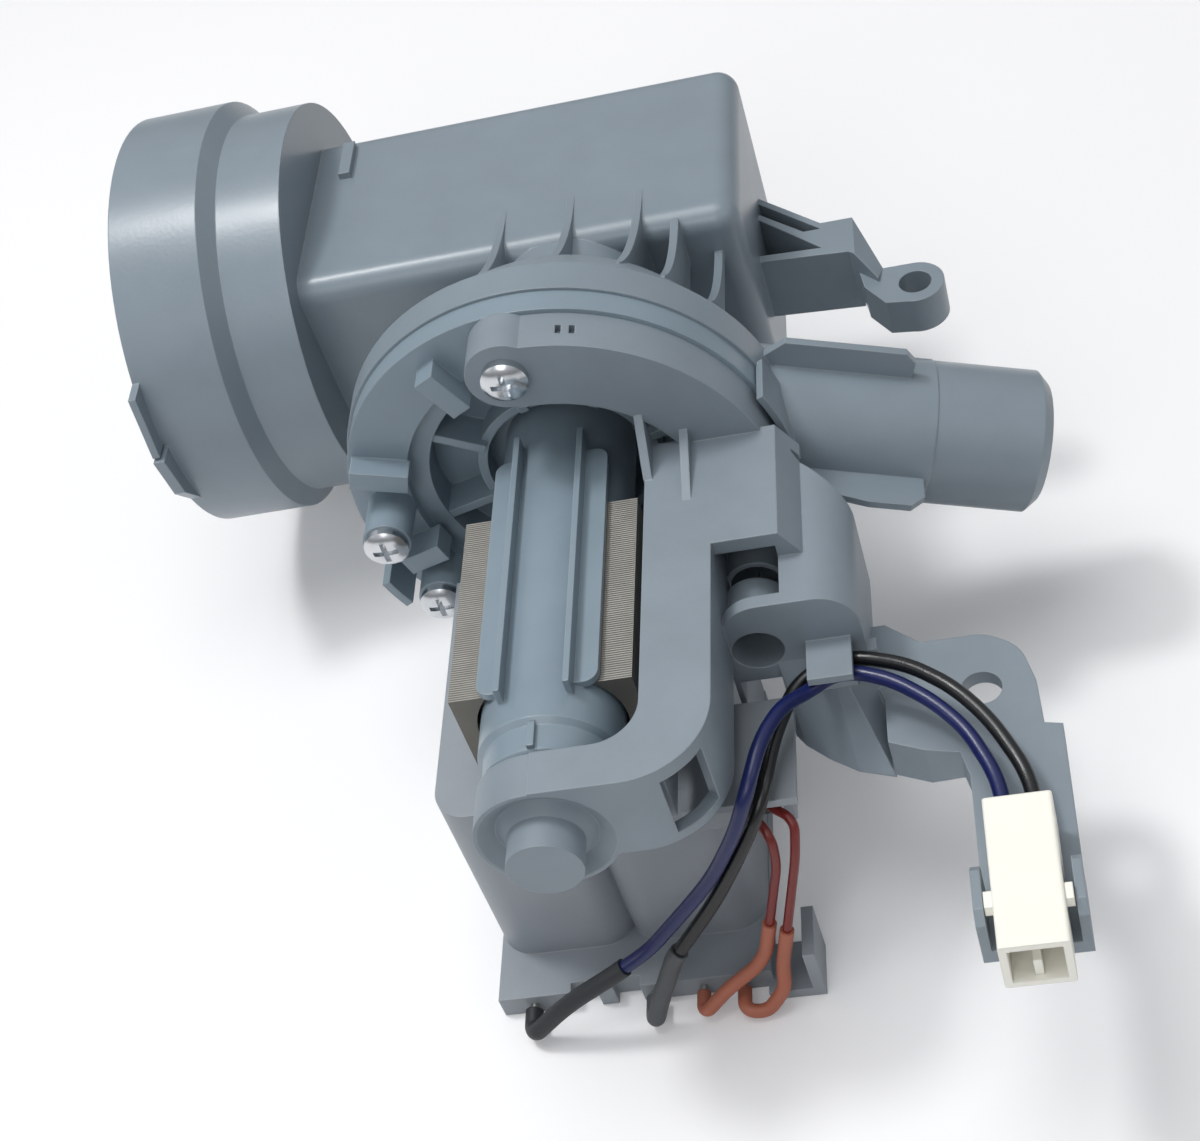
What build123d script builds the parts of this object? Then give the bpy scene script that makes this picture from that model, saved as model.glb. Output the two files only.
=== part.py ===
from build123d import *
from math import cos, pi, radians, sin, sqrt, tan
import os

os.makedirs("parts", exist_ok=True)

# Washer drain pump, in millimetres. The origin is the centre of the inlet collar's mouth. +X runs
# into the pump, the motor axis lies along Y with the motor towards -Y, and +Z is up.

# Places of the main axes
inlet_to_motor = 90.2
inlet_to_face = 75.1
motor_rise = 5.2
overrun = 2.0
lap = 1.0
gap = 0.3

# Inlet collar and filter chamber
collar_radius = 44.6
collar_bore = 41.2
collar_length = 19.0
shoulder_length = 3.0
rear_radius = 41.2
rear_bore = 38.4
collar_depth = 35.7
lock_thickness = 1.6
lock_foot_length = 2.4
lock_flange_shares = ((-0.6, 0.408), (-1.025, 0.408), (-1.085, 0.094), (-0.6, 0.094))
lock_foot_shares = ((-0.6, 0.081), (-1.103, 0.081), (-1.067, -0.159), (-0.886, -0.395),
                    (-0.6, -0.395))
chamber_length = 91.0
chamber_front = 28.0
chamber_back = 22.3
chamber_top = 24.4
chamber_bottom = 33.6
chamber_wall = 2.6
chamber_round = 4.5
chamber_bottom_round = 16.0
stop_place = 5.6
stop_width = 2.5
stop_length = 11.0
stop_height = 1.6

# Volute and its neck, measured back from the motor plate's face
rim_radius = 42.5
rim_depth = 12.0
volute_depth = 27.2
volute_rear_radius = 31.9
volute_wall = 2.6
seal_width = 2.4
neck_radius = 18.6
eye_radius = 13.0
lip_rise = 4.0
lip_reach = 1.0
lip_low_angle = -12.0
lip_sweep = 34.0

# Outlet tube
outlet_radius = 13.5
outlet_bore = 10.8
outlet_tilt = 20.0
outlet_offset = 10.9
outlet_setback = 10.5
outlet_start = 18.0
outlet_throat = 45.0
throat_step = 0.4
outlet_end = 88.0
outlet_chamfer = 2.0
outlet_seat = 66.0
outlet_step = 0.2
fin_start = 30.0
fin_end = 61.0
fin_height = 5.8
fin_thickness = 1.6
fin_ramp = 6.5
fin_round = 2.0
ledge_start = 42.0
ledge_end = 65.0
ledge_reach = 7.4
ledge_thickness = 1.5
ledge_cut = 2.6

# Gussets between the volute and the chamber: place to the right, tip behind the face, tip height
gusset_thickness = 1.6
gusset_root = 16.0
gusset_foot = 8.0
gusset_sag_share = 0.36
gusset_place_shares = (-0.27, 0.064, 0.395, 0.567, 0.73)
gusset_tip_shares = (0.326, 0.326, 0.326, 0.026, 0.026)
gusset_rise_shares = (1.0, 1.0, 1.0, 0.98, 0.52)

# Mounting ear on the chamber's end
ear_hole_radius = 3.3
ear_radius = 5.9
ear_thickness = 8.2
ear_hole_reach = 30.6
ear_hole_back = 51.5
ear_top = 10.0
arm_top_drop = 5.0
arm_depth = 15.0
arm_reach = 19.4
arm_back = 69.2
arm_root_back = 82.0
arm_knee_reach = 12.8
arm_front = 58.4
arm_rib = 1.8
arm_floor = 2.5
ramp_reach = 24.4

# Motor plate and rotor tube
plate_radius = 41.9
plate_thickness = 5.0
plate_fit = 0.3
spigot_radius = 29.0
recess_radius = 30.6
recess_step = 2.4
recess_depth = 10.0
plate_web = 2.4
tube_radius = 12.5
tube_bore = 11.2
tube_length = 68.5
nose_radius = 11.5
nose_length = 6.0
nose_bore = 9.6
tip_radius = 8.0
tip_length = 4.6
nose_rib_height = 1.0
nose_rib_thickness = 1.2
hub_radius = 17.5
hub_wall = 1.8
hub_depth = 5.5
spoke_thickness = 1.8
spoke_depth = 7.2
spoke_count = 8
spoke_angle = 15.0
tube_rib_place = 6.0
tube_rib_thickness = 1.1
tube_rib_top = 14.4
tube_rib_start = 2.0
tube_rib_margin = 6.0
wing_reach = 10.6
wing_thickness = 1.5
wing_top = 11.3
wing_start = 5.0
wing_margin = 8.0
wing_round = 2.5
tab_width = 4.2
tab_rise = 4.6
upper_tab_angle = 118.0
upper_tab_radius = 33.0
upper_tab_length = 10.0
lower_tab_angle = 162.0
lower_tab_radius = 35.5
lower_tab_length = 11.0
block_angle = 197.0
block_radius = 32.5
block_length = 8.5
block_rise = 6.0
fence_angle = 197.0
fence_sweep = 10.0
fence_radius = 42.4
fence_thickness = 1.7
fence_rise = 8.0

# Screws, in order: on the arm's lobe, deep in the arm, and two on the plate's own posts
screw_circle = 35.0
screw_angles = (93.0, -7.0, 179.0, 211.0)
post_radius = 4.6
upper_post_rise = 10.0
lower_post_rise = 8.4
screw_head_radius = 4.25
screw_head_height = 2.7
screw_head_round = 1.1
screw_shank_radius = 1.9
screw_bite = 11.0
screw_cross_width = 1.1
screw_cross_length = 4.8
screw_cross_depth = 1.7

# Rotor, bearings and impeller
magnet_radius = 10.5
magnet_margin = 3.6
magnet_start = 19.5
shaft_radius = 1.6
shaft_gap = 0.05
shaft_tip = 0.5
bush_radius = 4.2
bush_length = 6.0
cushion_length = 5.0
tip_bush_inset = 6.0
carrier_length = 4.0
impeller_radius = 23.0
impeller_hub_radius = 7.4
impeller_start = 13.4
impeller_disc = 1.6
impeller_clearance = 1.8
impeller_blades = 6
impeller_cap = 2.4
blade_thickness = 1.6
dog_radius = 5.6
dog_core_radius = 3.2
dog_angle = 50.0
dog_gap = 0.3
dog_inset = 0.6
dog_room = 0.8
key_angle = 60.0

# Core, bobbins and coils
core_half_width = 16.0
core_start = 17.6
core_length = 41.8
core_top = 9.5
core_bore = 13.1
leg_inner = 6.6
slot_bottom = 46.0
rivet_radius = 1.5
rivet_head_radius = 2.3
rivet_head_height = 0.7
rivet_height = 13.9
bobbin_top = 16.6
bobbin_bottom = 45.5
bobbin_wall = 1.1
bobbin_flange = 1.4
bobbin_gap = 0.15
coil_thickness = 2.9
coil_flange_share = 0.8

# Coil cover
cover_half_width = 25.6
cover_top = 13.5
cover_floor = 57.5
cover_reach = 6.6
cover_rear = 9.5
cover_wall = 1.8
cover_corner = 6.4
cover_valley = 0.6
cover_gap = 0.2
flange_reach = 9.5
flange_thickness = 5.0
flange_half_width = 25.8
flange_notch_width = 5.0
flange_notch_depth = 2.2
pocket_right = 38.9
pocket_side = 37.0
pocket_lip = 5.0
pocket_reach = 5.0
pocket_length = 22.0
pocket_depth = 12.5
cutout_length = 15.0
cutout_height = 8.0
cutout_gap = 0.4
clip_right = 32.9
clip_reach = 2.9
clip_length = 10.4
clip_thickness = 2.2
clip_rise = 13.0
pin_radius = 0.7
pin_reach = 1.4
pin_bite = 4.0
pin_drop = 2.6
blue_pin_x = -19.4
black_pin_x = 3.7
rear_red_pin_x = 12.8
front_red_pin_x = 20.4

# Support arm
band_thickness = 8.7
band_outer_radius = 41.0
band_inner_radius = 27.3
band_low_angle = -13.0
lobe_radius = 7.2
slot_depth = 1.5
slot_length = 2.2
slot_sweep = 1.4
slot_angles = (74.0, 77.4)
beam_top = 12.5
beam_skin = 3.0
beam_wall = 2.4
beam_inner = 18.0
beam_outer = 30.0
beam_bottom = 6.0
bar_gap = 0.5
bar_depth = 8.5
corner_round = 15.0
beam_round = 8.0
shelf_right = 41.6
shelf_front = 34.5
cap_radius = 12.2
cap_dish_radius = 11.5
cap_dish_depth = 2.0
boss_radius = 6.5
boss_base_radius = 8.6
boss_reach = 5.9
boss_straight = 6.0
window_shift = -0.9
window_half_width = 4.5
window_low = 1.9
inner_fin_place = 18.6
inner_fin_height = 8.5
inner_fin_length = 8.0
outer_fin_place = 25.7
outer_fin_height = 3.4
outer_fin_length = 14.5
arm_fin_thickness = 1.6
block_right = 53.1
block_top = 6.8
block_left_round = 7.5
block_right_round = 7.5
block_slope = 3.4
block_rear = 12.5
block_rear_cut = 8.0
block_front = 45.5
block_wall = 2.6
block_bottom = 18.0
block_left_bottom = 12.0
guide_bore = 4.6
guide_wall = 1.0
guide_front = 30.0
guide_tube = 12.0
guide_slit = 0.9
skirt_left = 37.4
skirt_top = 8.0
skirt_bottom = 24.9
skirt_reach = 15.1
skirt_shares = ((0.0, 0.2), (0.1, 0.37), (0.34, 0.62), (0.63, 0.855), (1.0, 1.0))
bracket_top = 15.0
bracket_thickness = 3.0
bracket_left = 54.7
bracket_right = 81.0
bracket_rear = 34.3
bracket_neck = 69.8
bracket_tail_left = 67.9
bracket_tail_right = 84.0
bracket_front = 104.2
bracket_right_shares = ((0.03, 0.0), (0.26, 0.144), (0.69, 0.144), (0.905, 0.25), (0.985, 0.485),
                        (1.0, 0.744))
bracket_left_shares = ((0.452, 0.856), (0.232, 0.817), (0.0, 0.741), (0.0, 0.48))
bracket_step_share = 0.763
bracket_round = 8.0
bracket_hole_radius = 3.5
bracket_hole_x = 71.3
bracket_hole_front = 51.5
web_thickness = 2.4
web_bottom = 24.2
web_rise_start = 60.8
web_end_bottom = 21.6
tongue_left = 43.1
tongue_right = 50.9
tongue_top = 3.6
tongue_thickness = 1.6
tongue_front = 54.2
lower_tongue_top = 9.4
lower_tongue_front = 50.6
holder_rear = 93.0
holder_thickness = 1.6
holder_height = 9.0
holder_round = 2.0
holder_gap = 0.2

# Connector
plug_width = 11.0
plug_height = 11.0
plug_length = 28.0
plug_x = 75.5
plug_back = 83.0
plug_wall = 1.3
plug_mouth_depth = 10.0
plug_round = 0.6
plug_lug_reach = 1.3
plug_lug_length = 3.0
plug_lug_place = 17.0
plug_lug_rise = 8.0
plug_lug_height = 2.2
plug_key_width = 1.4
plug_key_height = 4.0
lead_entry = 5.0
lead_rise = 5.5
lead_pitch = 5.0
contact_width = 0.8
contact_height = 3.6
contact_length = 19.0

# Leads. The points of each route are measured from the motor axis at the plate's face.
lead_radius = 1.3
lead_clearance = 0.15
sleeve_radius = 1.7
red_radius = 0.85
red_sleeve_radius = 1.3
bend_run_share = 0.45
blue_route = ((73.0, -76.0, -9.5), (68.6, -65.5, -8.2), (63.6, -59.6, -7.0), (57.4, -54.2, -6.8),
              (51.6, -51.2, -7.0), (47.0, -50.9, -7.0), (42.6, -53.9, -7.0), (38.6, -58.8, -4.0),
              (35.2, -67.0, -1.8), (32.4, -75.5, -4.0), (28.7, -77.3, -12.3),
              (22.2, -77.6, -24.1), (14.4, -78.2, -33.3), (7.3, -79.2, -40.8),
              (1.9, -80.2, -44.0))
black_route = ((78.0, -76.0, -9.5), (72.6, -65.0, -7.0), (67.2, -58.2, -5.6),
               (60.0, -51.9, -5.8), (52.6, -48.2, -6.8), (46.6, -47.6, -7.0),
               (40.4, -51.4, -7.9), (36.2, -62.5, -7.8), (34.0, -74.0, -9.0),
               (28.5, -76.6, -18.7), (21.2, -77.7, -30.8), (15.0, -78.7, -39.0),
               (12.3, -79.2, -42.4))
blue_sleeve_route = ((-10.5, -81.6, -51.5), (-19.4, -82.0, -60.1))
black_sleeve_route = ((6.6, -81.0, -53.0), (3.7, -82.2, -60.1))
front_red_route = ((33.4, -68.2, -18.6), (37.6, -71.4, -18.8), (36.4, -74.4, -25.5),
                   (31.4, -76.6, -43.5))
front_red_sleeve_route = ((28.6, -80.4, -56.0), (24.4, -81.6, -61.1), (20.4, -81.6, -60.1))
rear_red_route = ((30.0, -69.0, -18.6), (33.2, -73.4, -20.0), (33.0, -74.6, -26.5),
                  (28.6, -75.8, -42.0))
rear_red_sleeve_route = ((24.2, -77.4, -52.6), (17.6, -79.2, -56.6), (12.8, -81.6, -60.1))
onward_share = 0.5
red_drop = 5.1
red_pitch = 3.4

motor_axis = Axis((inlet_to_motor, -inlet_to_face, motor_rise), (0, 1, 0))


def spot(place):
    """A place in the pump from its distances to the motor axis at the plate's face."""
    return Vector(inlet_to_motor + place[0], place[1] - inlet_to_face, motor_rise + place[2])


def ahead(distance):
    """The plane square to the motor axis, this far in front of the plate's face, seen from there."""
    return Plane(origin=(inlet_to_motor, -inlet_to_face - distance, motor_rise),
                 x_dir=(1, 0, 0), z_dir=(0, -1, 0))


def level(height):
    """The level plane this far above the motor axis; its y runs back from the plate's face."""
    return Plane(origin=(inlet_to_motor, -inlet_to_face, motor_rise + height),
                 x_dir=(1, 0, 0), z_dir=(0, 0, 1))


def across(distance):
    """The upright plane this far to the right of the motor axis: x runs back from the face, y up."""
    return Plane(origin=(inlet_to_motor + distance, -inlet_to_face, motor_rise),
                 x_dir=(0, 1, 0), z_dir=(1, 0, 0))


def polar(radius, angle):
    """The point at this radius and angle round the motor axis, as seen from the front."""
    return (radius * cos(radians(angle)), radius * sin(radians(angle)))


def slab(plane, left, right, low, high, depth, mode=Mode.ADD):
    """A box on a plane between two pairs of edges, in the part being built."""
    with BuildSketch(plane) as outline:
        with Locations(((left + right) / 2, (low + high) / 2)):
            Rectangle(right - left, high - low)
    extrude(outline.sketch, amount=depth, mode=mode)


def prism(plane, points, depth, mode=Mode.ADD, both=False):
    """A straight-sided outline carried square to its plane, in the part being built."""
    with BuildSketch(plane) as outline:
        with BuildLine():
            Polyline(*points, close=True)
        make_face()
    extrude(outline.sketch, amount=depth, mode=mode, both=both)


def disc(plane, radius, depth, mode=Mode.ADD, place=(0, 0)):
    """A round bar or hole square to a plane, in the part being built."""
    with BuildSketch(plane) as outline:
        with Locations(place):
            Circle(radius)
    extrude(outline.sketch, amount=depth, mode=mode)


def turned(points, mode=Mode.ADD):
    """An outline of radius and depth behind the face, turned round the motor axis."""
    with BuildSketch(level(0)) as outline:
        with BuildLine():
            Polyline(*points, close=True)
        make_face()
    revolve(outline.sketch, axis=motor_axis, mode=mode)


# Pump housing: collar, filter chamber, volute, outlet, gussets and ear in one moulding
chamber_end = collar_depth + chamber_length
chamber_right = chamber_end - inlet_to_motor
chamber_face = inlet_to_face - chamber_front
chamber_middle = (chamber_back - chamber_front) / 2
chamber_level = (chamber_top - chamber_bottom) / 2
chamber_width = chamber_back + chamber_front
chamber_height = chamber_top + chamber_bottom
chamber_roof = chamber_top - motor_rise
seal_bore = spigot_radius + seal_width
spigot_end = recess_depth + plate_web
volute_slope = (rim_radius - volute_rear_radius) / (volute_depth - rim_depth)
outlet_direction = Vector(cos(radians(outlet_tilt)), 0, -sin(radians(outlet_tilt)))
outlet_up = Vector(sin(radians(outlet_tilt)), 0, cos(radians(outlet_tilt)))
outlet_foot = (Vector(inlet_to_motor, outlet_setback - inlet_to_face, motor_rise)
               + outlet_up * outlet_offset)


def along_outlet(distance):
    """The plane square to the outlet, this far from the motor axis; its x points to the front."""
    return Plane(origin=outlet_foot + outlet_direction * distance,
                 x_dir=(0, -1, 0), z_dir=outlet_direction)


def chamber_section(start, wall, depth, mode, within=0):
    """A length of the chamber's section, drawn in by a wall, and kept within a circle if asked."""
    with BuildSketch(Plane.YZ.offset(start)) as section:
        with Locations((chamber_middle, chamber_level)):
            Rectangle(chamber_width - 2 * wall, chamber_height - 2 * wall)
        fillet(section.vertices().group_by(Axis.Y)[-1], chamber_round - wall / 2)
        fillet(section.vertices().group_by(Axis.Y)[0], chamber_bottom_round - wall)
        if within:
            Circle(within, mode=Mode.INTERSECT)
    extrude(section.sketch, amount=depth, mode=mode)


with BuildPart() as housing:
    chamber_section(collar_depth - lap, 0, chamber_length + lap, Mode.ADD)
    fillet(housing.faces().sort_by(Axis.X)[-1].edges(), chamber_round)
    with BuildSketch(Plane.XZ):
        with BuildLine():
            Polyline((0, 0), (0, collar_radius), (collar_length, collar_radius),
                     (collar_length + shoulder_length, rear_radius), (collar_depth, rear_radius),
                     (collar_depth, 0), close=True)
        make_face()
    revolve(axis=Axis.X)
    # Small stop rib on the chamber's roof beside the collar
    stop_x = collar_depth - inlet_to_motor + stop_place
    stop_back = inlet_to_face + chamber_back - chamber_round
    slab(level(chamber_roof - lap), stop_x, stop_x + stop_width, stop_back - stop_length,
         stop_back, lap + stop_height)
    # Lock on the collar's rim: a thin flange, and a foot with a sloping end below it
    for lock_shares, lock_depth in ((lock_flange_shares, lock_thickness),
                                    (lock_foot_shares, lock_foot_length)):
        prism(Plane.YZ, [(y * collar_radius, z * collar_radius) for y, z in lock_shares],
              lock_depth)
    turned(((0, plate_thickness), (rim_radius, plate_thickness), (rim_radius, rim_depth),
            (volute_rear_radius, volute_depth), (0, volute_depth)))
    # Lip of the volute's rim beside the outlet, outside the motor plate
    with BuildSketch(ahead(-plate_thickness - lap)):
        with BuildLine():
            lip_inner = CenterArc((0, 0), screw_circle, lip_low_angle, lip_sweep)
            lip_outer = CenterArc((0, 0), rim_radius + lip_reach, lip_low_angle, lip_sweep)
            Line(lip_inner @ 0, lip_outer @ 0)
            Line(lip_inner @ 1, lip_outer @ 1)
        make_face()
    extrude(amount=plate_thickness + lap + lip_rise)
    disc(ahead(-volute_depth + volute_wall), neck_radius,
         -(chamber_face + chamber_wall / 2 - volute_depth + volute_wall))
    # Outlet with its chamfered end, its fin on top and its ledge towards the front
    fin_plane = Plane(origin=outlet_foot, x_dir=outlet_direction, z_dir=(0, -1, 0))
    with BuildSketch(fin_plane):
        with BuildLine():
            Polyline((outlet_start, 0), (outlet_start, outlet_radius + outlet_step),
                     (outlet_seat, outlet_radius + outlet_step), (outlet_seat, outlet_radius),
                     (outlet_end - outlet_chamfer, outlet_radius),
                     (outlet_end, outlet_radius - outlet_chamfer), (outlet_end, 0), close=True)
        make_face()
    revolve(axis=Axis(outlet_foot, outlet_direction))
    fin_top = outlet_radius + fin_height
    prism(fin_plane,
          ((fin_start, outlet_radius - lap), (fin_start + fin_ramp, fin_top),
           (fin_end - fin_round, fin_top), (fin_end, fin_top - fin_round),
           (fin_end, outlet_radius - lap)), fin_thickness / 2, both=True)
    ledge_plane = Plane(origin=outlet_foot, x_dir=outlet_direction, z_dir=outlet_up)
    ledge_edge = outlet_radius + ledge_reach
    prism(ledge_plane,
          ((ledge_start, -outlet_bore - lap), (ledge_start, -outlet_radius - ledge_cut),
           (ledge_start + ledge_reach, -ledge_edge + lap), (ledge_start + 2 * ledge_cut
           + ledge_reach, -ledge_edge), (ledge_end - ledge_cut, -ledge_edge),
           (ledge_end, -ledge_edge + ledge_cut), (ledge_end, -outlet_bore - lap)),
          ledge_thickness / 2, both=True)
    # Gussets that tie the volute to the chamber's top and front
    for place_share, tip_share, rise_share in zip(gusset_place_shares, gusset_tip_shares,
                                                  gusset_rise_shares):
        gusset_x = rim_radius * place_share
        tip_back = chamber_face + chamber_width * tip_share
        tip_rise = chamber_roof * rise_share
        root_back = rim_depth + (volute_depth - rim_depth) / 2
        root_radius = rim_radius - volute_slope * (root_back - rim_depth)
        root_rise = sqrt(root_radius ** 2 - gusset_x ** 2)
        sag_back = root_back + (tip_back - root_back) * gusset_sag_share
        sag_rise = tip_rise + (root_rise - tip_rise) * gusset_sag_share
        with BuildSketch(across(gusset_x)):
            with BuildLine():
                top = ThreePointArc((root_back, root_rise), (sag_back, sag_rise),
                                    (tip_back, tip_rise))
                Polyline(top @ 1, (tip_back, gusset_foot), (gusset_root, gusset_foot),
                         (gusset_root, root_rise - lap), top @ 0)
            make_face()
        extrude(amount=gusset_thickness / 2, both=True)
    # Ear: a ribbed arm on the chamber's end, a ramp, and a flat lug with the hole
    arm_right = chamber_right + arm_reach
    arm_knee = chamber_right + arm_knee_reach
    ramp_right = chamber_right + ramp_reach
    hole_x = chamber_right + ear_hole_reach
    arm_root = chamber_right - lap
    prism(level(-arm_top_drop),
          ((arm_root, arm_root_back), (arm_knee, arm_back), (arm_right, arm_back),
           (arm_right, arm_front), (arm_root, arm_front + arm_rib)), -arm_depth)
    prism(level(-arm_top_drop),
          ((arm_right - lap, arm_back), (arm_right, arm_back), (ramp_right, arm_front - lap),
           (ramp_right - lap, ear_hole_back + arm_rib), (arm_right - lap, arm_front)),
          -(ear_top - arm_top_drop) - ear_thickness)
    prism(ahead(-ear_hole_back + 3 * ear_radius),
          ((arm_right, -arm_top_drop), (ramp_right + overrun, -arm_top_drop),
           (ramp_right + overrun, -ear_top), (ramp_right, -ear_top)),
          -8 * ear_radius, mode=Mode.SUBTRACT)
    with BuildSketch(level(-ear_top)):
        with Locations((hole_x, ear_hole_back)):
            Circle(ear_radius)
        with BuildLine():
            Polyline((arm_right, arm_front), (ramp_right, arm_front - lap),
                     (hole_x, ear_hole_back + ear_radius), (hole_x, ear_hole_back - ear_radius),
                     (ramp_right, ear_hole_back - ear_radius + lap),
                     (arm_right + lap, ear_hole_back + lap), close=True)
        make_face()
    extrude(amount=-ear_thickness)
    for slot in (((chamber_right, arm_root_back - arm_rib - lap),
                  (arm_knee, arm_back - arm_rib), (arm_knee - 2 * arm_rib, arm_back - arm_rib),
                  (chamber_right, arm_root_back - 3 * arm_rib - lap)),
                 ((chamber_right, arm_root_back - 4 * arm_rib - lap),
                  (arm_knee, arm_front + arm_rib + lap), (chamber_right, arm_front + 2 * arm_rib))):
        prism(level(-arm_top_drop), slot, -(arm_depth - arm_floor), mode=Mode.SUBTRACT)
    disc(level(-ear_top), ear_hole_radius, -ear_thickness, Mode.SUBTRACT, (hole_x, ear_hole_back))
    # Hollows: room for the motor plate, the seal, the impeller, the water and the filter
    disc(ahead(-plate_thickness), plate_radius + plate_fit, 6 * plate_thickness, Mode.SUBTRACT)
    with BuildSketch(Plane.YZ):
        Circle(collar_bore)
    extrude(amount=collar_length, mode=Mode.SUBTRACT)
    with BuildSketch(Plane.YZ):
        Circle(rear_bore)
    extrude(amount=collar_depth - chamber_wall, mode=Mode.SUBTRACT)
    chamber_section(collar_depth - chamber_wall - lap, chamber_wall, 2 * chamber_wall + lap,
                    Mode.SUBTRACT, rear_bore)
    chamber_section(collar_depth + chamber_wall - lap, chamber_wall,
                    chamber_length - 2 * chamber_wall + lap, Mode.SUBTRACT)
    turned(((0, plate_thickness), (seal_bore, plate_thickness), (seal_bore, spigot_end),
            (volute_rear_radius - volute_wall, volute_depth - volute_wall),
            (0, volute_depth - volute_wall)), Mode.SUBTRACT)
    disc(ahead(-volute_depth + 2 * volute_wall), eye_radius,
         -(chamber_face + 2 * chamber_wall - volute_depth + 2 * volute_wall), Mode.SUBTRACT)
    disc(along_outlet(outlet_throat), outlet_bore, outlet_end - outlet_throat + overrun,
         Mode.SUBTRACT)
    with BuildSketch(along_outlet(outlet_start + overrun)):
        Circle(outlet_bore - throat_step)
        with Locations((-outlet_bore - (spigot_end + volute_wall / 2 - outlet_setback), 0)):
            Rectangle(2 * outlet_bore, 2 * outlet_bore, mode=Mode.INTERSECT)
    extrude(amount=outlet_throat - outlet_start, mode=Mode.SUBTRACT)
    for angle in screw_angles:
        disc(ahead(-plate_thickness), screw_shank_radius, plate_thickness - screw_bite - gap,
             Mode.SUBTRACT, polar(screw_circle, angle))
housing.part.label = "pump_housing"
export_step(housing.part, "parts/pump_housing.step")
print("housing solids", len(housing.part.solids()), "volume", round(housing.part.volume))

# Motor plate: flange, recess with spokes, rotor tube with its ribs and wings, posts and tabs
well_radius = spigot_radius - plate_web
with BuildPart() as plate:
    turned(((0, recess_depth), (well_radius, recess_depth), (well_radius, recess_step),
            (recess_radius, recess_step), (recess_radius, 0),
            (plate_radius, 0), (plate_radius, plate_thickness), (spigot_radius, plate_thickness),
            (spigot_radius, spigot_end), (0, spigot_end)))
    disc(ahead(-recess_depth), hub_radius, hub_depth)
    disc(ahead(-recess_depth), hub_radius - hub_wall, hub_depth, Mode.SUBTRACT)
    for number in range(spoke_count):
        angle = spoke_angle + number * 360 / spoke_count
        with BuildSketch(ahead(-recess_depth)):
            with Locations(polar((hub_radius + well_radius) / 2, angle)):
                Rectangle(well_radius - hub_radius + 2 * lap, spoke_thickness, rotation=angle)
        extrude(amount=spoke_depth)
    turned(((0, recess_depth), (0, -tube_length - nose_length - tip_length),
            (tip_radius - lap, -tube_length - nose_length - tip_length),
            (tip_radius, -tube_length - nose_length - tip_length + lap),
            (tip_radius, -tube_length - nose_length),
            (nose_radius - lap, -tube_length - nose_length),
            (nose_radius, -tube_length - nose_length + lap), (nose_radius, -tube_length),
            (tube_radius, -tube_length + (tube_radius - nose_radius)), (tube_radius, recess_depth)))
    for side in (-1, 1):
        slab(ahead(tube_rib_start), side * tube_rib_place - tube_rib_thickness / 2,
             side * tube_rib_place + tube_rib_thickness / 2, tube_radius / 2, tube_rib_top,
             tube_length - tube_rib_margin - tube_rib_start)
        with BuildSketch(level(wing_top)) as wing:
            with Locations((side * (tube_rib_place + wing_reach) / 2,
                            -(wing_start + tube_length - wing_margin) / 2)):
                Rectangle(wing_reach - tube_rib_place, tube_length - wing_margin - wing_start)
            outer_corners = wing.vertices().sort_by(Axis.X)
            fillet(outer_corners[-2:] if side > 0 else outer_corners[:2], wing_round)
        extrude(amount=-wing_thickness)
    slab(ahead(tube_length), -nose_rib_thickness / 2, nose_rib_thickness / 2, nose_radius / 2,
         nose_radius + nose_rib_height, nose_length - lap)
    for angle, radius, length, rise in (
            (upper_tab_angle, upper_tab_radius, upper_tab_length, tab_rise),
            (lower_tab_angle, lower_tab_radius, lower_tab_length, tab_rise),
            (block_angle, block_radius, block_length, block_rise)):
        with BuildSketch(ahead(0)):
            with Locations(polar(radius, angle)):
                Rectangle(length, tab_width, rotation=angle)
        extrude(amount=rise)
    with BuildSketch(ahead(-plate_thickness)):
        with BuildLine():
            fence_inner = CenterArc((0, 0), fence_radius - fence_thickness, fence_angle,
                                    fence_sweep)
            fence_outer = CenterArc((0, 0), fence_radius, fence_angle, fence_sweep)
            Line(fence_inner @ 0, fence_outer @ 0)
            Line(fence_inner @ 1, fence_outer @ 1)
        make_face()
    extrude(amount=plate_thickness + fence_rise)
    disc(ahead(0), post_radius, upper_post_rise, Mode.ADD, polar(screw_circle, screw_angles[2]))
    disc(ahead(0), post_radius, lower_post_rise, Mode.ADD, polar(screw_circle, screw_angles[3]))
    # Bore for the rotor, seats for the bushes, and the screw holes
    disc(ahead(-spigot_end), tube_bore, spigot_end + tube_length - plate_web, Mode.SUBTRACT)
    disc(ahead(tube_length - plate_web), nose_bore, nose_length, Mode.SUBTRACT)
    for angle in screw_angles:
        disc(ahead(upper_post_rise), screw_shank_radius + gap, -upper_post_rise - plate_thickness,
             Mode.SUBTRACT, polar(screw_circle, angle))
plate.part.label = "motor_plate"
export_step(plate.part, "parts/motor_plate.step")
print("plate solids", len(plate.part.solids()))

# Rubber ring between the housing and the plate's spigot
with BuildPart() as seal:
    with BuildSketch(level(0)):
        with Locations(((spigot_radius + seal_bore) / 2, (plate_thickness + spigot_end) / 2)):
            Circle(seal_width / 2)
    revolve(axis=motor_axis)
seal.part.label = "housing_seal"
export_step(seal.part, "parts/housing_seal.step")

# Rotor: steel shaft, two-pole magnet, and the driver that turns the impeller after some free travel
impeller_back = volute_depth - volute_wall - impeller_clearance
impeller_height = impeller_back - impeller_start
hub_floor = impeller_back - impeller_cap
dog_start = impeller_start + dog_inset
dog_length = hub_floor - dog_room - dog_start
shaft_back = hub_floor + impeller_cap / 2
shaft_front = tube_length + shaft_tip
with BuildPart() as shaft:
    disc(ahead(-shaft_back), shaft_radius, shaft_back + shaft_front)
    chamfer(shaft.edges(), shaft_radius / 4)
shaft.part.label = "rotor_shaft"
export_step(shaft.part, "parts/rotor_shaft.step")

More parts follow.
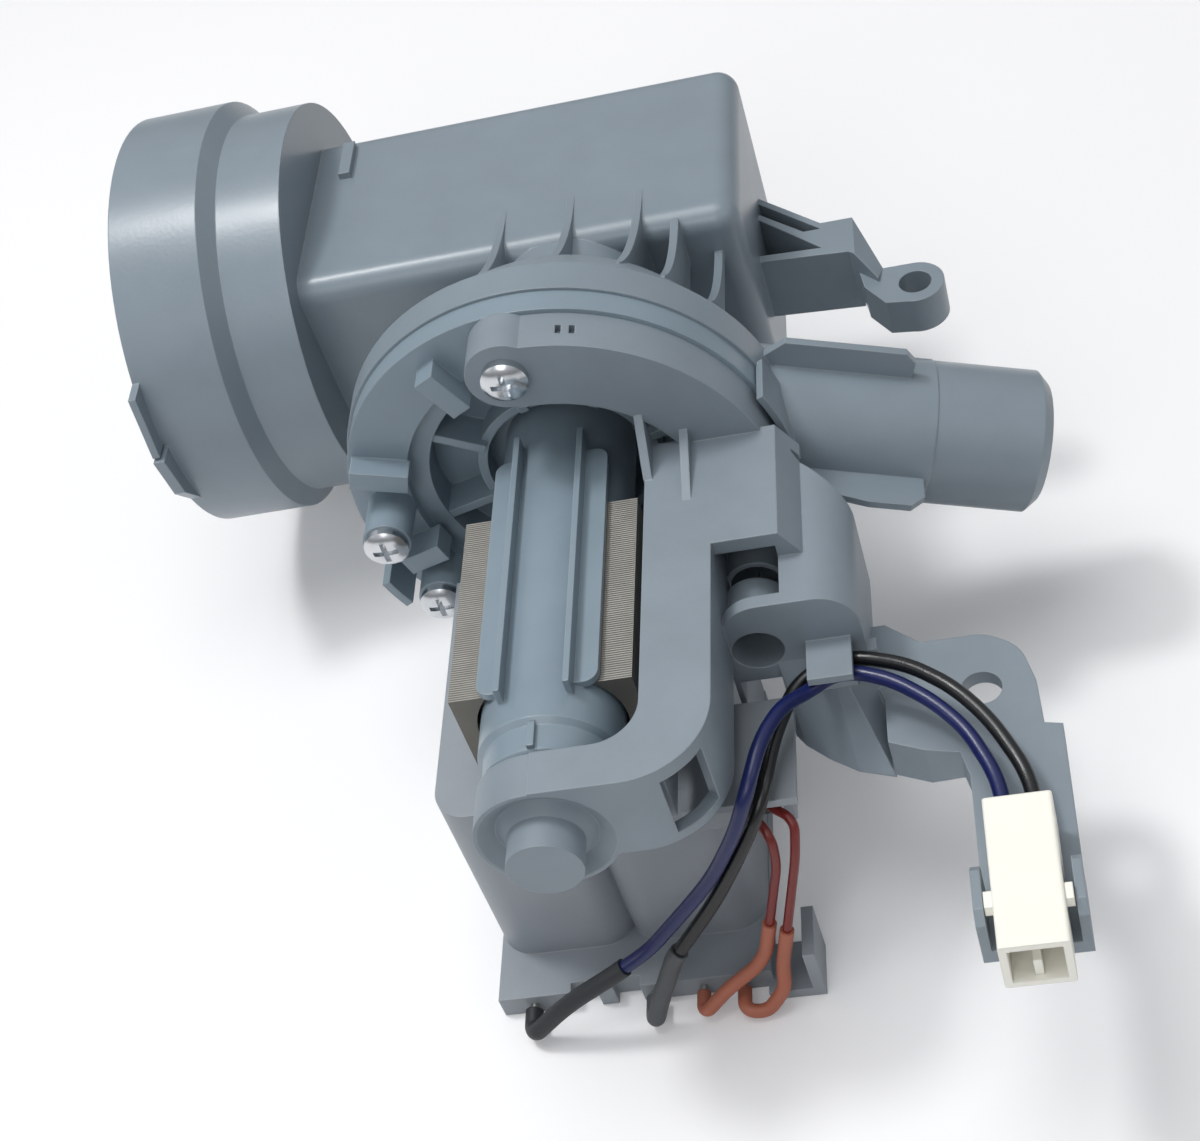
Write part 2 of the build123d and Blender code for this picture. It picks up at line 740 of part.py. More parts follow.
cushion_front = tube_length - plate_web
magnet_length = cushion_front - cushion_length - magnet_margin - magnet_start
with BuildPart() as magnet:
    disc(ahead(magnet_start), magnet_radius, magnet_length)
    chamfer(magnet.edges(), shaft_radius / 4)
    disc(ahead(magnet_start), shaft_radius, magnet_length, Mode.SUBTRACT)
magnet.part.label = "rotor_magnet"
export_step(magnet.part, "parts/rotor_magnet.step")


def sector(plane, inner, outer, middle, sweep, depth, mode=Mode.ADD):
    """A piece of a ring between two radii, centred on an angle, carried square to its plane."""
    with BuildSketch(plane) as outline:
        with BuildLine():
            near = CenterArc((0, 0), inner, middle - sweep / 2, sweep)
            far = CenterArc((0, 0), outer, middle - sweep / 2, sweep)
            Line(near @ 0, far @ 0)
            Line(near @ 1, far @ 1)
        make_face()
    extrude(outline.sketch, amount=depth, mode=mode)


with BuildPart() as dog:
    disc(ahead(-dog_start), dog_core_radius, -dog_length)
    sector(ahead(-dog_start), shaft_radius + lap / 2, dog_radius, 90, dog_angle, -dog_length)
    disc(ahead(-dog_start), shaft_radius, -dog_length, Mode.SUBTRACT)
dog.part.label = "drive_dog"
export_step(dog.part, "parts/drive_dog.step")

# Impeller: open wheel whose hub has a key that the driver pushes
with BuildPart() as impeller:
    disc(ahead(-impeller_start), impeller_radius, -impeller_disc)
    disc(ahead(-impeller_start), impeller_hub_radius, -impeller_height)
    for number in range(impeller_blades):
        angle = number * 360 / impeller_blades
        middle = (impeller_hub_radius + impeller_radius) / 2
        with BuildSketch(ahead(-impeller_start)) as blade:
            with Locations(polar(middle - lap / 2, angle)):
                Rectangle(impeller_radius - impeller_hub_radius + lap, blade_thickness,
                          rotation=angle)
        extrude(blade.sketch, amount=-impeller_height)
    disc(ahead(-impeller_start), dog_radius + dog_gap, -(impeller_height - impeller_cap),
         Mode.SUBTRACT)
    sector(ahead(-impeller_start), dog_core_radius + dog_gap, dog_radius + lap, 270, key_angle,
           -(impeller_height - impeller_cap + lap))
    disc(ahead(-hub_floor + lap), shaft_radius + shaft_gap, -(lap + impeller_cap / 2 + gap),
         Mode.SUBTRACT)
impeller.part.label = "impeller"
export_step(impeller.part, "parts/impeller.step")

# Bearings: a bush held by a rubber cushion in the tube's closed end, and one in the carrier
tip_bush_back = tube_length - tip_bush_inset
with BuildPart() as front_bush:
    disc(ahead(tip_bush_back), bush_radius, bush_length)
    disc(ahead(tip_bush_back), shaft_radius + shaft_gap, bush_length, Mode.SUBTRACT)
front_bush.part.label = "front_bush"
export_step(front_bush.part, "parts/front_bush.step")

with BuildPart() as cushion:
    disc(ahead(cushion_front), tube_bore, -cushion_length)
    disc(ahead(cushion_front), bush_radius, -cushion_length, Mode.SUBTRACT)
cushion.part.label = "bush_cushion"
export_step(cushion.part, "parts/bush_cushion.step")

with BuildPart() as rear_bush:
    disc(ahead(-spigot_end), bush_radius, bush_length)
    disc(ahead(-spigot_end), shaft_radius + shaft_gap, bush_length, Mode.SUBTRACT)
rear_bush.part.label = "rear_bush"
export_step(rear_bush.part, "parts/rear_bush.step")

with BuildPart() as carrier:
    disc(ahead(-spigot_end), tube_bore, carrier_length)
    disc(ahead(-spigot_end), bush_radius, carrier_length, Mode.SUBTRACT)
carrier.part.label = "bush_carrier"
export_step(carrier.part, "parts/bush_carrier.step")

# Laminated core round the rotor tube, with its rivets
core_bottom = cover_floor - cover_wall
core_front = core_start + core_length
rivet_x = (leg_inner + core_half_width) / 2
rivet_places = ((-rivet_x, -rivet_height), (rivet_x, -rivet_height),
                (-rivet_x, (-slot_bottom - core_bottom) / 2),
                (rivet_x, (-slot_bottom - core_bottom) / 2))
with BuildPart() as core:
    slab(ahead(core_start), -core_half_width, core_half_width, -core_bottom, core_top, core_length)
    disc(ahead(core_start), core_bore, core_length, Mode.SUBTRACT)
    slab(ahead(core_start), -leg_inner, leg_inner, -slot_bottom, -core_bore / 2, core_length,
         Mode.SUBTRACT)
    for place in rivet_places:
        disc(ahead(core_start), rivet_radius, core_length, Mode.SUBTRACT, place)
core.part.label = "stator_core"
export_step(core.part, "parts/stator_core.step")

with BuildPart() as rivets:
    for place in rivet_places:
        disc(ahead(core_start - rivet_head_height), rivet_head_radius, rivet_head_height,
             Mode.ADD, place)
        disc(ahead(core_start), rivet_radius, core_length, Mode.ADD, place)
        disc(ahead(core_front), rivet_head_radius, rivet_head_height, Mode.ADD, place)
rivets.part.label = "core_rivets"
export_step(rivets.part, "parts/core_rivets.step")

# Bobbins and windings on the core's two legs
leg_width = core_half_width - leg_inner


def round_leg(side, rise, margin, corner, depth, mode=Mode.ADD):
    """A level outline that stands off one leg of the core by a margin, with rounded corners."""
    with BuildSketch(level(-rise)) as outline:
        with Locations((side * rivet_x, -core_start - core_length / 2)):
            if corner:
                RectangleRounded(leg_width + 2 * margin, core_length + 2 * margin, corner)
            else:
                Rectangle(leg_width + 2 * margin, core_length + 2 * margin)
    extrude(outline.sketch, amount=-depth, mode=mode)


bobbin_margin = bobbin_gap + bobbin_wall
bobbin_height = bobbin_bottom - bobbin_top
flange_margin = bobbin_margin + coil_thickness * coil_flange_share
coil_height = bobbin_height - 2 * bobbin_flange
for side, side_name in ((-1, "left"), (1, "right")):
    with BuildPart() as bobbin:
        round_leg(side, bobbin_top, bobbin_margin, bobbin_margin, bobbin_height)
        round_leg(side, bobbin_top, flange_margin, flange_margin, bobbin_flange)
        round_leg(side, bobbin_bottom - bobbin_flange, flange_margin, flange_margin, bobbin_flange)
        round_leg(side, bobbin_top, bobbin_gap, 0, bobbin_height, Mode.SUBTRACT)
    bobbin.part.label = "coil_bobbin_" + side_name
    export_step(bobbin.part, "parts/coil_bobbin_" + side_name + ".step")
    with BuildPart() as coil:
        round_leg(side, bobbin_top + bobbin_flange, bobbin_margin + coil_thickness,
                  bobbin_margin + coil_thickness, coil_height)
        round_leg(side, bobbin_top + bobbin_flange, bobbin_margin, bobbin_margin, coil_height,
                  Mode.SUBTRACT)
    coil.part.label = "coil_" + side_name
    export_step(coil.part, "parts/coil_" + side_name + ".step")

# Coil cover: a two-lobed case with a bottom flange, a pocket for the thermal cut-out and a clip
pin_places = (blue_pin_x, black_pin_x, rear_red_pin_x, front_red_pin_x)
cover_front = core_front + cover_reach
flange_front = cover_front + flange_reach
pocket_front = cover_front + pocket_reach
pocket_rear = pocket_front - pocket_length
clip_front = flange_front + clip_reach
clip_rear = clip_front - clip_length


def lobed(rise, wall, depth, mode=Mode.ADD):
    """The cover's level outline, two lobes with a valley at the front, drawn in by a wall."""
    shoulder = cover_front - cover_corner
    lobe_inner = cover_corner - cover_valley
    lobe_outer = cover_half_width - cover_corner
    with BuildSketch(level(-rise)) as outline:
        with Locations((0, -(cover_rear + wall + shoulder) / 2)):
            Rectangle(2 * (cover_half_width - wall), shoulder - cover_rear - wall)
        for side in (-1, 1):
            with Locations((side * (lobe_inner + lobe_outer) / 2,
                            -(shoulder + cover_front - wall) / 2)):
                Rectangle(lobe_outer - lobe_inner, cover_corner - wall)
            with Locations((side * lobe_inner, -shoulder), (side * lobe_outer, -shoulder)):
                Circle(cover_corner - wall)
    extrude(outline.sketch, amount=-depth, mode=mode)


with BuildPart() as cover:
    lobed(cover_top, 0, cover_floor - cover_top)
    slab(level(-cover_floor), -flange_half_width, flange_half_width, -flange_front, -cover_rear,
         -flange_thickness)
    slab(level(-cover_top), cover_half_width - cover_corner, pocket_side,
         -pocket_front + pocket_lip, -pocket_rear, -pocket_depth)
    slab(level(-cover_top), cover_half_width - cover_corner, pocket_right, -pocket_front,
         -pocket_rear, -cover_wall)
    slab(level(-cover_floor - flange_thickness + clip_thickness), flange_half_width - lap,
         clip_right + clip_thickness, -clip_front, -clip_rear, -clip_thickness)
    slab(level(-cover_floor - flange_thickness), clip_right, clip_right + clip_thickness,
         -clip_front, -clip_rear, clip_rise)
    lobed(cover_top + cover_wall, cover_wall, cover_floor - cover_top - 2 * cover_wall,
          Mode.SUBTRACT)
    slab(level(-cover_top), -core_half_width - cover_gap, core_half_width + cover_gap,
         -core_front - rivet_head_height - cover_gap, -core_start + rivet_head_height + cover_gap,
         -cover_wall - lap, Mode.SUBTRACT)
    slab(level(-cover_top - cover_wall), cover_half_width + lap, pocket_side - cover_wall,
         -pocket_front - overrun, -pocket_rear - cover_wall, -pocket_depth, Mode.SUBTRACT)
    for notch_x in (blue_pin_x + 2 * flange_notch_width, black_pin_x - flange_notch_width):
        slab(level(-cover_floor), notch_x - flange_notch_width / 2,
             notch_x + flange_notch_width / 2, -flange_front, -flange_front + flange_notch_depth,
             -flange_thickness, Mode.SUBTRACT)
    for pin_x in pin_places:
        disc(ahead(flange_front), pin_radius, -pin_bite, Mode.SUBTRACT,
             (pin_x, -cover_floor - pin_drop))
cover.part.label = "coil_cover"
export_step(cover.part, "parts/coil_cover.step")
print("cover solids", len(cover.part.solids()))

with BuildPart() as cutout:
    slab(level(-cover_top - cover_wall), cover_half_width + lap + cutout_gap,
         pocket_side - cover_wall - cutout_gap, -pocket_rear - cover_wall - cutout_gap
         - cutout_length, -pocket_rear - cover_wall - cutout_gap, -cutout_height)
    fillet(cutout.edges().filter_by(Axis.Y), lap)
cutout.part.label = "thermal_cutout"
export_step(cutout.part, "parts/thermal_cutout.step")

with BuildPart() as pins:
    for pin_x in pin_places:
        disc(ahead(flange_front - pin_bite), pin_radius, pin_bite + pin_reach, Mode.ADD,
             (pin_x, -cover_floor - pin_drop))
pins.part.label = "coil_terminals"
export_step(pins.part, "parts/coil_terminals.step")

# Support arm: band on the plate, beam with the end cap, screw guide, bracket and holder
guide_place = polar(screw_circle, screw_angles[1])
shelf_start = band_thickness - lap
skin_level = beam_top - beam_skin
inner_top = block_top - block_wall
holder_left = plug_x - plug_width / 2 - plug_lug_reach - holder_gap
holder_right = plug_x + plug_width / 2 + plug_lug_reach + holder_gap
tip_front = tube_length + nose_length + tip_length
bar_rear = tube_length + nose_length + bar_gap
bar_front = bar_rear + bar_depth
boss_end = bar_front + boss_reach
skirt_faces = []


def on_bracket(share):
    """A point of the bracket's outline from its shares of the bracket's width and length."""
    return (bracket_left + (bracket_right - bracket_left) * share[0],
            -bracket_rear - (bracket_neck - bracket_rear) * share[1])


with BuildPart() as arm:
    sector(ahead(0), band_inner_radius, band_outer_radius,
           (screw_angles[0] + band_low_angle) / 2, screw_angles[0] - band_low_angle, band_thickness)
    disc(ahead(0), lobe_radius, band_thickness, Mode.ADD, polar(screw_circle, screw_angles[0]))
    with BuildSketch(level(beam_top)) as beam:
        with BuildLine():
            Polyline((beam_inner, -shelf_start), (beam_inner, -bar_rear), (0, -bar_rear),
                     (0, -bar_front), (beam_outer, -bar_front), (beam_outer, -shelf_front),
                     (shelf_right, -shelf_front), (shelf_right, -shelf_start), close=True)
        make_face()
        fillet(beam.vertices().sort_by_distance((beam_inner, -bar_rear))[0], beam_round)
        fillet(beam.vertices().sort_by_distance((beam_outer, -bar_front))[0], corner_round)
    extrude(beam.sketch, amount=-(beam_top + beam_bottom))
    disc(ahead(bar_rear), cap_radius, bar_front - bar_rear)
    # Block to the right of the beam, with its rounded shoulders
    with BuildSketch(ahead(block_rear)) as block:
        with Locations(((beam_outer - lap + block_right) / 2, (block_top - block_bottom) / 2)):
            Rectangle(block_right - beam_outer + lap, block_top + block_bottom)
        shoulders = block.vertices().group_by(Axis.Y)[-1].sort_by(Axis.X)
        fillet(shoulders[0], block_left_round)
        fillet(block.vertices().sort_by_distance((block_right, block_top))[0], block_right_round)
    extrude(block.sketch, amount=block_front - block_rear)
    prism(ahead(shelf_start),
          ((shelf_right - lap, beam_top), (shelf_right, beam_top),
           (shelf_right + block_slope, block_top), (shelf_right + block_slope, block_top - lap),
           (shelf_right - lap, block_top - lap)), shelf_front - shelf_start)
    prism(level(block_top + overrun),
          ((block_right - block_rear_cut - overrun, -block_rear + overrun),
           (block_right + overrun, -block_rear + overrun),
           (block_right + overrun, -block_rear - block_rear_cut - overrun)),
          -(block_top + block_bottom + 2 * overrun), mode=Mode.SUBTRACT)
    slab(ahead(block_rear - overrun), beam_outer, skirt_left, -block_bottom - overrun,
         -block_left_bottom, block_front - block_rear + 2 * overrun, Mode.SUBTRACT)
    # Hollows under the beam and the block, and the open recess in front of the shelf
    with BuildSketch(level(skin_level)) as beam_hollow:
        with BuildLine():
            Polyline((beam_inner + beam_wall, -shelf_start - beam_skin),
                     (beam_inner + beam_wall, -bar_rear - beam_wall),
                     (cap_radius + beam_wall, -bar_rear - beam_wall),
                     (cap_radius + beam_wall, -bar_front + beam_wall),
                     (beam_outer - beam_wall, -bar_front + beam_wall),
                     (beam_outer - beam_wall, -shelf_start - beam_skin), close=True)
        make_face()
        fillet(beam_hollow.vertices().sort_by_distance((beam_outer, -bar_front))[0],
               corner_round - beam_wall)
    extrude(beam_hollow.sketch, amount=-(skin_level + beam_bottom + overrun), mode=Mode.SUBTRACT)
    slab(level(skin_level), beam_outer, shelf_right - lap, -block_front + block_wall,
         -shelf_start - beam_skin, -(skin_level + block_bottom + overrun), Mode.SUBTRACT)
    slab(level(inner_top), shelf_right + lap, block_right - block_wall, -block_front + block_wall,
         -block_rear - block_rear_cut, -(inner_top + block_bottom + overrun), Mode.SUBTRACT)
    # Skirt that slopes forward under the front wall
    for skirt_level, spread in ((-skirt_top, 0), (-skirt_bottom, 1)):
        with BuildSketch(level(skirt_level)) as skirt:
            with BuildLine():
                Polyline((skirt_left, -block_front + block_wall),
                         *((skirt_left + (bracket_left - skirt_left) * along,
                            -block_front - skirt_reach * down * spread)
                           for along, down in skirt_shares),
                         (bracket_left, -block_front + block_wall), close=True)
            make_face()
        skirt_faces.append(skirt.sketch.faces()[0])
    loft(skirt_faces, ruled=True)
    # Window in the corner, recess and boss on the cap, room for the rotor tube's tip
    window_plane = Plane(origin=spot((beam_outer - corner_round, -bar_front + corner_round, 0)),
                         x_dir=(1, 1, 0), z_dir=(1, -1, 0))
    slab(window_plane.offset(corner_round - 2 * beam_wall), window_shift - window_half_width,
         window_shift + window_half_width, window_low - beam_bottom, skin_level,
         3 * beam_wall, Mode.SUBTRACT)
    turned(((0, -bar_front - overrun), (cap_dish_radius, -bar_front - overrun),
            (cap_dish_radius, -bar_front), (boss_base_radius, -bar_front + cap_dish_depth),
            (0, -bar_front + cap_dish_depth)), Mode.SUBTRACT)
    turned(((0, -bar_front + cap_dish_depth + lap),
            (boss_base_radius, -bar_front + cap_dish_depth + lap),
            (boss_base_radius, -bar_front + cap_dish_depth),
            (boss_radius, -boss_end + boss_straight), (boss_radius, -boss_end), (0, -boss_end)))
    disc(ahead(bar_rear - lap), tip_radius + gap, tip_front + gap - bar_rear + lap, Mode.SUBTRACT)
    # Guides for the deep screw, with the hole in the front wall
    for start, end in ((band_thickness - lap, guide_front),
                       (block_front - guide_tube, block_front - lap / 2)):
        disc(ahead(start), guide_bore + guide_wall, end - start, Mode.ADD, guide_place)
    disc(ahead(band_thickness), guide_bore, block_front - band_thickness + overrun,
         Mode.SUBTRACT, guide_place)
    slab(ahead(band_thickness + screw_head_height), guide_place[0] - guide_slit / 2,
         guide_place[0] + guide_slit / 2, guide_place[1] - guide_bore - guide_wall / 2,
         guide_place[1] - guide_bore / 2, guide_front - band_thickness, Mode.SUBTRACT)
    # Two fins at the root of the beam
    for place, height, length in ((inner_fin_place, inner_fin_height, inner_fin_length),
                                  (outer_fin_place, outer_fin_height, outer_fin_length)):
        prism(across(place),
              ((-shelf_start, beam_top - lap), (-shelf_start, beam_top + height),
               (-band_thickness, beam_top + height), (-band_thickness - length, beam_top),
               (-band_thickness - length, beam_top - lap)), arm_fin_thickness / 2, both=True)
    # Bracket plate, its web, the lead tongues and the connector's holder
    right_points = [on_bracket(share) for share in bracket_right_shares]
    left_points = [on_bracket(share) for share in bracket_left_shares]
    step_y = -bracket_rear - (bracket_neck - bracket_rear) * bracket_step_share
    with BuildSketch(level(-bracket_top)) as bracket:
        with BuildLine():
            Polyline(*right_points, (bracket_tail_right, step_y),
                     (bracket_tail_right, -bracket_front), (bracket_tail_left, -bracket_front),
                     (bracket_tail_left, -bracket_neck), *left_points,
                     (block_right - lap, -block_front + lap),
                     (block_right - lap, -bracket_rear), close=True)
        make_face()
        fillet([bracket.vertices().sort_by_distance(point)[0] for point in right_points[2:5]],
               bracket_round)
    extrude(bracket.sketch, amount=-bracket_thickness)
    web_points = ((bracket_tail_left, -bracket_neck), *left_points)
    inner_points = [(x + web_thickness, y + web_thickness) for x, y in reversed(web_points)]
    prism(level(-bracket_top), (*web_points, *inner_points), -(web_bottom - bracket_top))
    prism(ahead(bracket_rear),
          ((web_rise_start, -web_bottom), (bracket_tail_left, -web_end_bottom),
           (bracket_tail_left + web_thickness + lap, -web_end_bottom),
           (bracket_tail_left + web_thickness + lap, -web_bottom - overrun),
           (web_rise_start, -web_bottom - overrun)), bracket_front - bracket_rear,
          mode=Mode.SUBTRACT)
    slab(level(-tongue_top), tongue_left, tongue_right, -tongue_front, -block_front + lap,
         -tongue_thickness)
    slab(level(-lower_tongue_top), tongue_left, tongue_right, -lower_tongue_front,
         -block_front + lap, -tongue_thickness)
    slab(level(-bracket_top), holder_left - holder_thickness, holder_right + holder_thickness,
         -bracket_front, -holder_rear, -bracket_thickness)
    for near, far in ((holder_left - holder_thickness, holder_left),
                      (holder_right, holder_right + holder_thickness)):
        prism(across(near),
              ((-bracket_front, -bracket_top - lap), (-bracket_front, -bracket_top + holder_height
               - holder_round), (-bracket_front + holder_round, -bracket_top + holder_height),
               (-holder_rear - holder_round, -bracket_top + holder_height),
               (-holder_rear, -bracket_top + holder_height - holder_round),
               (-holder_rear, -bracket_top - lap)), far - near)
    # Holes for the bracket's bolt and the arm's own screws, and two slots in the band's rim
    disc(level(-bracket_top), bracket_hole_radius, -bracket_thickness, Mode.SUBTRACT,
         (bracket_hole_x, -bracket_hole_front))
    for angle in screw_angles[:2]:
        disc(ahead(0), screw_shank_radius + gap, band_thickness, Mode.SUBTRACT,
             polar(screw_circle, angle))
    for angle in slot_angles:
        sector(ahead((band_thickness - slot_length) / 2), band_outer_radius - slot_depth,
               band_outer_radius + overrun, angle, slot_sweep, slot_length, Mode.SUBTRACT)
arm.part.label = "support_arm"
export_step(arm.part, "parts/support_arm.step")
print("arm solids", len(arm.part.solids()), "valid", arm.part.is_valid)

# Four pan-head screws with a cross recess
screw_seats = (band_thickness, band_thickness, upper_post_rise, lower_post_rise)
with BuildPart() as screws:
    for angle, seat in zip(screw_angles, screw_seats):
        screw_x, screw_z = polar(screw_circle, angle)
        screw_origin = ahead(0).from_local_coords((screw_x, screw_z))
        head_front = seat + screw_head_height
        with BuildSketch(Plane(origin=screw_origin, x_dir=(1, 0, 0), z_dir=(0, 0, 1))) as half:
            with BuildLine():
                dome = ThreePointArc((screw_head_radius, -head_front + screw_head_round),
                                     (screw_head_radius * sin(pi / 4), -head_front
                                      + screw_head_round * (1 - cos(pi / 4))),
                                     (0, -head_front))
                Polyline(dome @ 1, (0, screw_bite), (screw_shank_radius, screw_bite),
                         (screw_shank_radius, -seat), (screw_head_radius, -seat), dome @ 0)
            make_face()
        revolve(half.sketch, axis=Axis(screw_origin, (0, 1, 0)))
        for width, height in ((screw_cross_length, screw_cross_width),
                              (screw_cross_width, screw_cross_length)):
            slab(ahead(head_front - screw_cross_depth), screw_x - width / 2, screw_x + width / 2,
                 screw_z - height / 2, screw_z + height / 2, screw_cross_depth + overrun,
                 Mode.SUBTRACT)
screws.part.label = "pan_head_screws"
export_step(screws.part, "parts/pan_head_screws.step")

# Two-way connector in the holder, with its blade contacts
plug_left = plug_x - plug_width / 2
plug_right = plug_x + plug_width / 2
plug_low = -bracket_top
plug_high = plug_low + plug_height
lead_level = plug_low + lead_rise
plug_front = plug_back + plug_length
with BuildPart() as plug:
    slab(ahead(plug_back), plug_left, plug_right, plug_low, plug_high, plug_length)
    fillet(plug.edges().filter_by(Axis.Y), plug_round)
    slab(ahead(plug_back + plug_lug_place), plug_left - plug_lug_reach,
         plug_right + plug_lug_reach, plug_low + plug_lug_rise,
         plug_low + plug_lug_rise + plug_lug_height, plug_lug_length)
    slab(ahead(plug_front - plug_mouth_depth), plug_left + plug_wall, plug_right - plug_wall,
         plug_low + plug_wall, plug_high - plug_wall, plug_mouth_depth + overrun, Mode.SUBTRACT)
    slab(ahead(plug_front - plug_mouth_depth - lap), plug_x - plug_key_width / 2,
         plug_x + plug_key_width / 2, plug_low + plug_wall / 2, plug_low + plug_wall
         + plug_key_height, plug_mouth_depth)
    for lead_x in (plug_x - lead_pitch / 2, plug_x + lead_pitch / 2):
        disc(ahead(plug_back - overrun), lead_radius + lead_clearance, lead_entry + overrun,
             Mode.SUBTRACT, (lead_x, lead_level))
        slab(ahead(plug_back), lead_x - contact_width / 2, lead_x + contact_width / 2,
             lead_level - contact_height / 2, lead_level + contact_height / 2, plug_length,
             Mode.SUBTRACT)
plug.part.label = "connector_housing"
export_step(plug.part, "parts/connector_housing.step")

with BuildPart() as contacts:
    for lead_x in (plug_x - lead_pitch / 2, plug_x + lead_pitch / 2):
        slab(ahead(plug_back + lead_entry), lead_x - contact_width / 2,
             lead_x + contact_width / 2, lead_level - contact_height / 2,
             lead_level + contact_height / 2, contact_length)
contacts.part.label = "connector_contacts"
export_step(contacts.part, "parts/connector_contacts.step")


# Leads and their sleeves, each one round bar along its route with arcs at the corners
def cord(name, route, radius):
    """Sweeps a round bar along a route, writes it, and prints its length and its bends."""
    points = [spot(place) for place in route]
    bends = []
    for before, corner, after in zip(points, points[1:], points[2:]):
        run_in = corner - before
        run_out = after - corner
        shorter = min(run_in.length, run_out.length)
        half_turn = radians(run_in.get_angle(run_out) / 2)
        bends.append(bend_run_share * shorter / tan(half_turn))
    with BuildPart() as bar:
        with BuildLine() as path:
            FilletPolyline(*points, radius=bends)
        wire = path.wires()[0]
        with BuildSketch(Plane(origin=wire @ 0, z_dir=wire % 0)) as section:
            Circle(radius)
        sweep(section.sketch, path=wire)
    bar.part.label = name
    export_step(bar.part, "parts/" + name + ".step")
    expected = pi * radius ** 2 * wire.length
    print(name, "length", round(wire.length, 1), "volume over length times section",
          round(bar.part.volume / expected, 4), "least bend", round(min(bends), 1))


def onward(route):
    """The route's end and a place straight on past it, so that a sleeve starts in line."""
    ahead_of = [end + onward_share * (end - before) for before, end in zip(route[-2], route[-1])]
    return route[-1], tuple(ahead_of)


pin_level = -cover_floor - pin_drop
pin_front = -flange_front - pin_reach
lead_start = -plug_back - lead_entry
cutout_front = -pocket_rear - cover_wall - cutout_gap - cutout_length
red_level = -cover_top - red_drop
red_x = front_red_route[0][0]
cord("blue_lead", ((plug_x - lead_pitch / 2, lead_start, lead_level), *blue_route), lead_radius)
cord("black_lead", ((plug_x + lead_pitch / 2, lead_start, lead_level), *black_route), lead_radius)
cord("blue_lead_sleeve", (*onward(blue_route), *blue_sleeve_route,
                          (blue_pin_x, pin_front, pin_level)), sleeve_radius)
cord("black_lead_sleeve", (*onward(black_route), *black_sleeve_route,
                           (black_pin_x, pin_front, pin_level)), sleeve_radius)
cord("red_lead_front", ((red_x, cutout_front, red_level), *front_red_route), red_radius)
cord("red_lead_rear", ((red_x - red_pitch, cutout_front, red_level), *rear_red_route), red_radius)
cord("red_sleeve_front", (*onward(front_red_route), *front_red_sleeve_route,
                          (front_red_pin_x, pin_front, pin_level)), red_sleeve_radius)
cord("red_sleeve_rear", (*onward(rear_red_route), *rear_red_sleeve_route,
                         (rear_red_pin_x, pin_front, pin_level)), red_sleeve_radius)
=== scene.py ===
import bpy
from mathutils import Matrix, Vector


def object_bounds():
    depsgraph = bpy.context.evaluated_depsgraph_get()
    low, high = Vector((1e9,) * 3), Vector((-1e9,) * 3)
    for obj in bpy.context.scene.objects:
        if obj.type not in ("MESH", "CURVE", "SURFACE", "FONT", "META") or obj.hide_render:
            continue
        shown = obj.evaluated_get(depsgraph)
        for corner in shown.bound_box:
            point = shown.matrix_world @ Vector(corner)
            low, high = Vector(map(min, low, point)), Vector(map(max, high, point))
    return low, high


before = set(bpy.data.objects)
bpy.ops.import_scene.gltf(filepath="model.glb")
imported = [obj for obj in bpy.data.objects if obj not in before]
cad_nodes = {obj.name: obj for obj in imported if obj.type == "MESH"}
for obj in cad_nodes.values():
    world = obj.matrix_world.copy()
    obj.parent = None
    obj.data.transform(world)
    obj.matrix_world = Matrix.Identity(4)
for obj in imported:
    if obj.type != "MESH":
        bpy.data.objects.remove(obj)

cad_low, cad_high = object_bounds()

# Camera, placed where the photographer stood: in front of the motor, above it and to its right,
# with the view rolled so that the chamber climbs to the upper right of the picture.
camera_place = Vector((0.1795, -0.3711, 0.2856))
camera_forward = Vector((-0.20691, 0.67999, -0.70331)).normalized()
camera_right = Vector((0.96727, 0.03422, -0.25111)).normalized()
camera_up = camera_right.cross(camera_forward).normalized()
sensor_width = 36.0
focal_length = 66.367
nearest_seen = 0.01
camera_data = bpy.data.cameras.new("photo_camera")
camera_data.sensor_fit = "HORIZONTAL"
camera_data.sensor_width = sensor_width
camera_data.lens = focal_length
camera_data.clip_start = nearest_seen
camera = bpy.data.objects.new("photo_camera", camera_data)
bpy.context.scene.collection.objects.link(camera)
camera_turn = Matrix((camera_right, camera_up, -camera_forward)).transposed()
camera.matrix_world = Matrix.Translation(camera_place) @ camera_turn.to_4x4()
bpy.context.scene.camera = camera
bpy.context.scene.view_settings.view_transform = "Standard"


# The table, a pale matt sheet under the pump. The camera sees it nearly white, with the pump's
# shadow on it, because it has a weak light of its own that only the camera's rays meet.
def linear(code):
    """The linear colour of a hex code, with alpha."""
    values = [int(code[place:place + 2], 16) / 255 for place in (0, 2, 4)]
    return [v / 12.92 if v < 0.04045 else ((v + 0.055) / 1.055) ** 2.4 for v in values] + [1.0]


def add_node(material, kind, inputs=None, **settings):
    """Adds a node; each input takes a plain value or another node's output."""
    made = material.node_tree.nodes.new(kind)
    for name, value in settings.items():
        setattr(made, name, value)
    for name, value in (inputs or {}).items():
        if isinstance(value, bpy.types.NodeSocket):
            material.node_tree.links.new(value, made.inputs[name])
        else:
            made.inputs[name].default_value = value
    return made


def new_material(name):
    """An empty node material and its output node."""
    material = bpy.data.materials.new(name)
    material.use_nodes = True
    material.node_tree.nodes.clear()
    return material, add_node(material, "ShaderNodeOutputMaterial")


